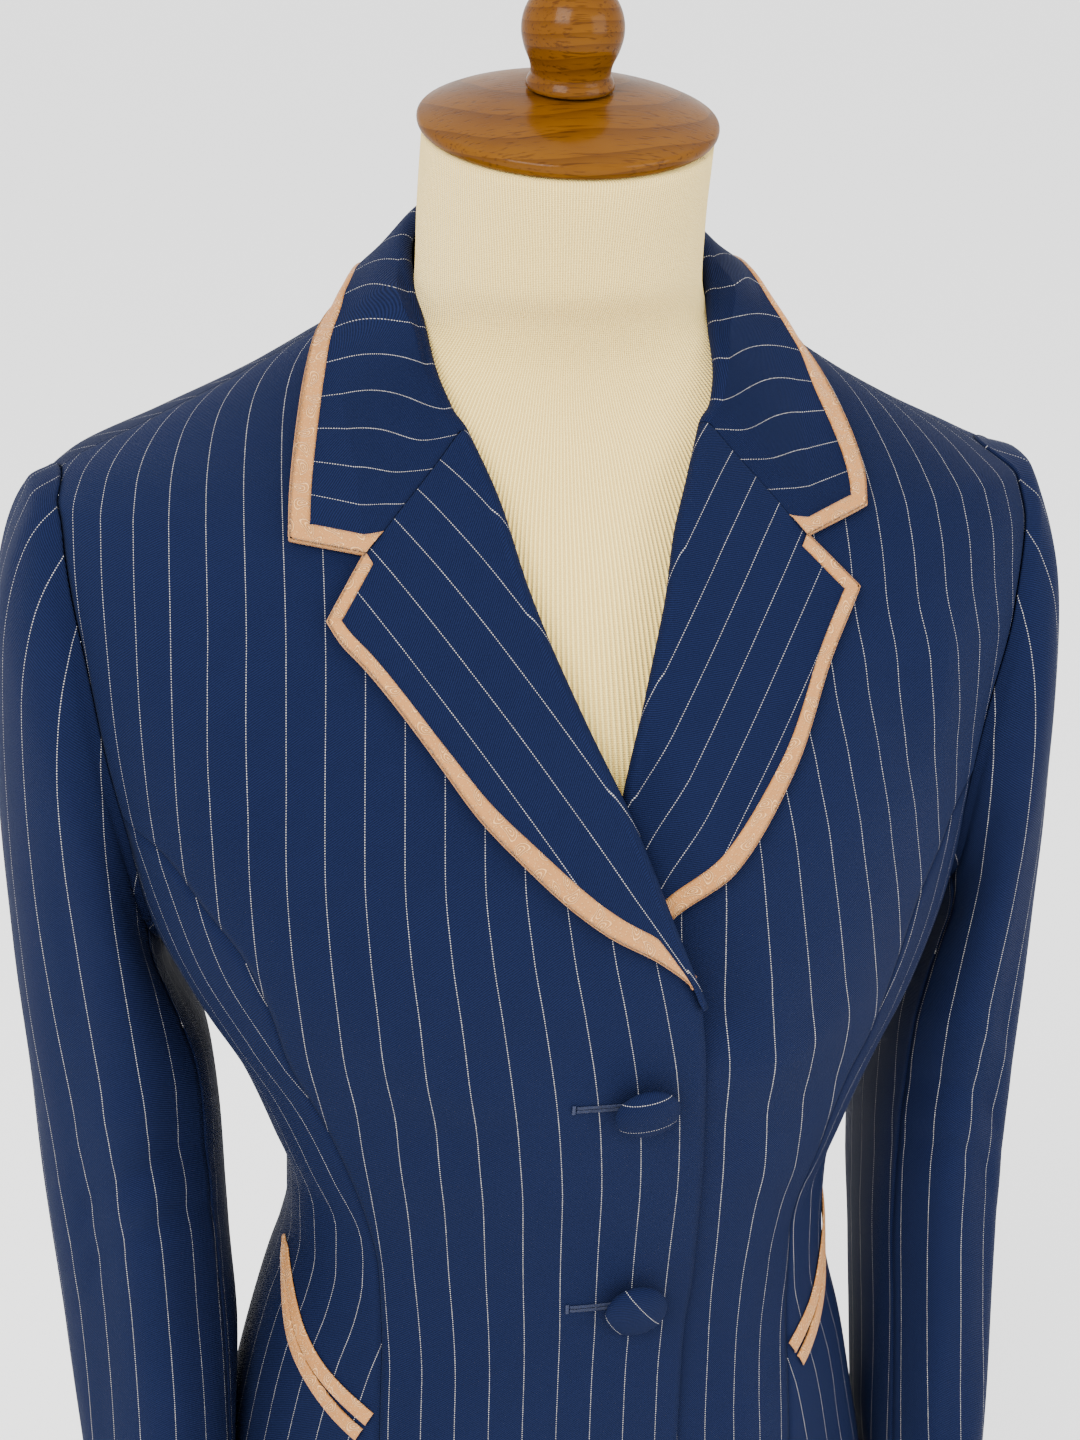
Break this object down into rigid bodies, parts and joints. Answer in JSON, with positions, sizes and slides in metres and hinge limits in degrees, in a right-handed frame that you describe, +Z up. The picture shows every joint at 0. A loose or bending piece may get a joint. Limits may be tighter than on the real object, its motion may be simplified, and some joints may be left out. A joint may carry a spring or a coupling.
{
  "type": "showmanship suit jacket on a limbless dress form with a turned stand",
  "caption": "Fitted, buttoned long-sleeved suit jacket with notched collar, bound edges and curved welt pockets, worn on a limbless dress form with neck cap and round base.",
  "frame": {"origin": "on the floor, at the centre of the round base's underside, on the pole's axis", "axes": "+Z up along the pole, -Y the front of the jacket, +X towards the wearer's left"},
  "size_m": [0.4377, 0.3, 1.02],
  "materials": {
    "jacket_cloth": "matt wool twill",
    "satin_trim": "satin jacquard",
    "button_cloth": "matt wool twill over a domed mould",
    "form_jersey": "matt ribbed jersey",
    "stand_wood": "satin varnish"
  },
  "bodies": {
    "root": {"right_front": "jacket_cloth", "right_side": "jacket_cloth", "right_back": "jacket_cloth", "right_lapel": "jacket_cloth", "right_top_sleeve": "jacket_cloth", "right_under_sleeve": "jacket_cloth", "right_lapel_binding": "satin_trim", "right_pocket_upper_welt": "satin_trim", "right_pocket_lower_welt": "satin_trim", "left_front": "jacket_cloth", "left_side": "jacket_cloth", "left_back": "jacket_cloth", "left_lapel": "jacket_cloth", "left_top_sleeve": "jacket_cloth", "left_under_sleeve": "jacket_cloth", "left_lapel_binding": "satin_trim", "left_pocket_upper_welt": "satin_trim", "left_pocket_lower_welt": "satin_trim", "collar": "jacket_cloth", "collar_binding": "satin_trim", "button_upper": "button_cloth", "button_lower": "button_cloth", "form_torso": "form_jersey", "neck_cap": "stand_wood", "finial": "stand_wood", "stand_pole": "stand_wood", "stand_base": "stand_wood"}
  },
  "joints": []
}
